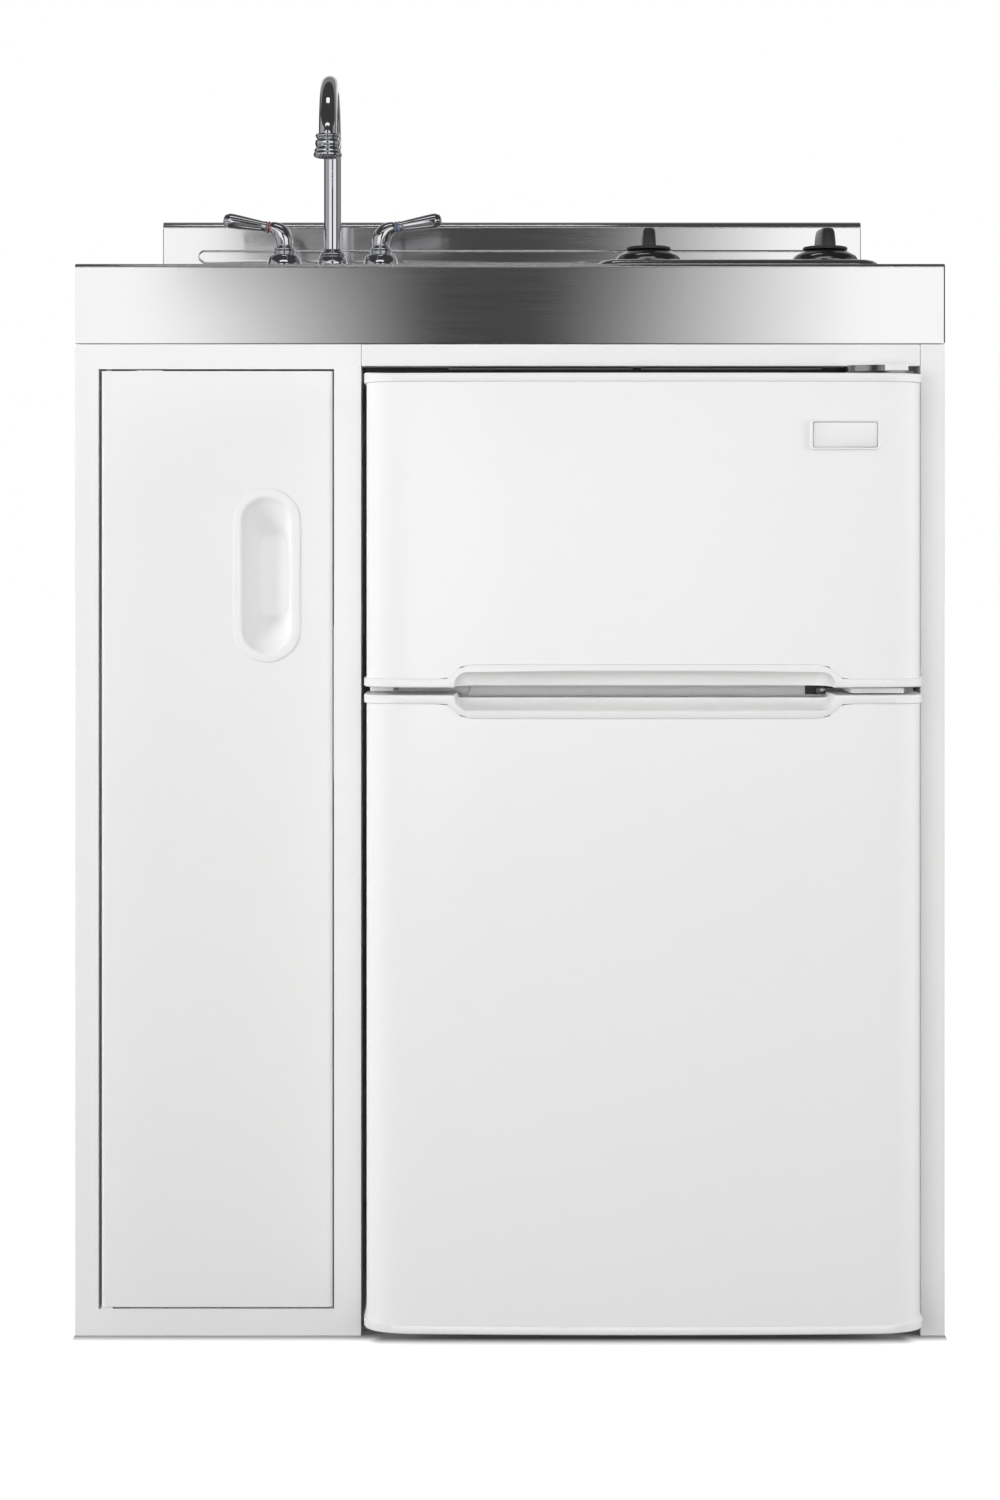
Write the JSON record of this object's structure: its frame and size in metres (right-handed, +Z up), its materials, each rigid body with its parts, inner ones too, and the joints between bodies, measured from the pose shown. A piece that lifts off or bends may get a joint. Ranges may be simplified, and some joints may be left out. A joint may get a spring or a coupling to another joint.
{
  "type": "kitchenette unit with sink and hob",
  "caption": "White steel kitchenette with a stainless worktop, sink, gooseneck faucet, electric coil hob, narrow cupboard door and a freezer-over-fridge below.",
  "frame": {"origin": "on the floor under the middle of the unit's overall width and depth", "axes": "+Z up, the front with its doors faces -Y, +X to the right seen from the front"},
  "size_m": [0.762, 0.692, 1.1759],
  "materials": {
    "white_steel": "white powder coat, fine orange peel",
    "galvanised": "galvanised, dull",
    "stainless": "brushed along the width",
    "pressed_stainless": "satin",
    "chrome": "polished plate",
    "white_plastic": "moulded, satin",
    "white_door": "white enamel, satin",
    "clear_plastic": "clear, polished",
    "gasket_grey": "soft, matt",
    "black_plastic": "moulded, satin",
    "black_steel": "black paint, satin",
    "element": "oxidised sheath, matt",
    "lamp_lens": "dark red lens",
    "red_mark": "moulded, gloss",
    "blue_mark": "moulded, gloss"
  },
  "bodies": {
    "cabinet": {"left_front_frame": "white_steel", "left_side_panel": "white_steel", "right_side_panel": "white_steel", "divider_panel": "white_steel", "top_rail": "white_steel", "rear_rail": "galvanised", "cupboard_floor": "white_steel", "cupboard_back": "galvanised", "bay_floor": "galvanised", "upper_door_pivot": "galvanised", "lower_door_pivot": "galvanised", "door_catch": "white_plastic", "worktop": "stainless", "backsplash": "stainless", "sink_bowl": "pressed_stainless", "strainer_body": "pressed_stainless", "drain_tailpiece": "chrome", "faucet_base": "chrome", "hob_plate": "stainless", "hob_box": "galvanised", "front_drip_pan": "chrome", "front_coil_element": "element", "rear_drip_pan": "chrome", "rear_coil_element": "element", "left_knob_bezel": "chrome", "left_heat_switch": "black_plastic", "left_indicator_lamp": "lamp_lens", "right_knob_bezel": "chrome", "right_heat_switch": "black_plastic", "right_indicator_lamp": "lamp_lens", "fridge_body": "white_steel", "top_hinge": "galvanised", "middle_hinge": "galvanised", "bottom_hinge": "galvanised", "hinge_cover": "white_plastic", "shelf": "clear_plastic", "crisper_cover": "clear_plastic", "compressor": "black_steel", "condenser": "black_steel"},
    "cabinet_door": {"cabinet_door": "white_steel", "door_pull": "white_plastic"},
    "freezer_door": {"freezer_door": "white_door", "freezer_top_cap": "white_plastic", "freezer_bottom_cap": "white_plastic", "freezer_gasket": "gasket_grey"},
    "fridge_door": {"fridge_door": "white_door", "fridge_top_cap": "white_plastic", "fridge_bottom_cap": "white_plastic", "fridge_gasket": "gasket_grey"},
    "spout": {"spout": "chrome", "aerator": "chrome"},
    "hot_lever": {"hot_lever": "chrome", "hot_index_ring": "red_mark"},
    "cold_lever": {"cold_lever": "chrome", "cold_index_ring": "blue_mark"},
    "left_knob": {"left_knob": "black_plastic"},
    "right_knob": {"right_knob": "black_plastic"},
    "thermostat_dial": {"thermostat_dial": "white_plastic"},
    "strainer_basket": {"strainer_basket": "pressed_stainless"},
    "crisper_drawer": {"crisper_drawer": "clear_plastic"}
  },
  "joints": [
    {"name": "cabinet_door_hinge", "type": "hinge", "parent": "cabinet", "child": "cabinet_door", "pos_m": [-0.352, -0.259, 0.43485], "axis": [0, 0, -1], "range_deg": [0, 105]},
    {"name": "freezer_door_hinge", "type": "hinge", "parent": "cabinet", "child": "freezer_door", "pos_m": [0.3335, -0.309, 0.705], "axis": [0, 0, 1], "range_deg": [0, 110]},
    {"name": "fridge_door_hinge", "type": "hinge", "parent": "cabinet", "child": "fridge_door", "pos_m": [0.3335, -0.309, 0.295], "axis": [0, 0, 1], "range_deg": [0, 110]},
    {"name": "spout_swivel", "type": "hinge", "parent": "cabinet", "child": "spout", "pos_m": [-0.189, 0.232, 1], "axis": [0, 0, 1], "range_deg": [-120, 120]},
    {"name": "hot_lever_turn", "type": "hinge", "parent": "cabinet", "child": "hot_lever", "pos_m": [-0.2398, 0.232, 1], "axis": [0, 0, 1], "range_deg": [0, 90]},
    {"name": "cold_lever_turn", "type": "hinge", "parent": "cabinet", "child": "cold_lever", "pos_m": [-0.1382, 0.232, 1], "axis": [0, 0, -1], "range_deg": [0, 90]},
    {"name": "left_knob_turn", "type": "hinge", "parent": "cabinet", "child": "left_knob", "pos_m": [0.126, -0.164, 0.965], "axis": [0, 0, 1], "continuous": true},
    {"name": "right_knob_turn", "type": "hinge", "parent": "cabinet", "child": "right_knob", "pos_m": [0.287, -0.164, 0.965], "axis": [0, 0, 1], "continuous": true},
    {"name": "thermostat_turn", "type": "hinge", "parent": "cabinet", "child": "thermostat_dial", "pos_m": [0.2926, -0.154, 0.505], "axis": [-1, 0, 0], "range_deg": [0, 300]},
    {"name": "basket_lift", "type": "slide", "parent": "cabinet", "child": "strainer_basket", "axis": [0, 0, 1], "range_m": [0, 0.08]},
    {"name": "crisper_slide", "type": "slide", "parent": "cabinet", "child": "crisper_drawer", "axis": [0, -1, 0], "range_m": [0, 0.02]}
  ]
}
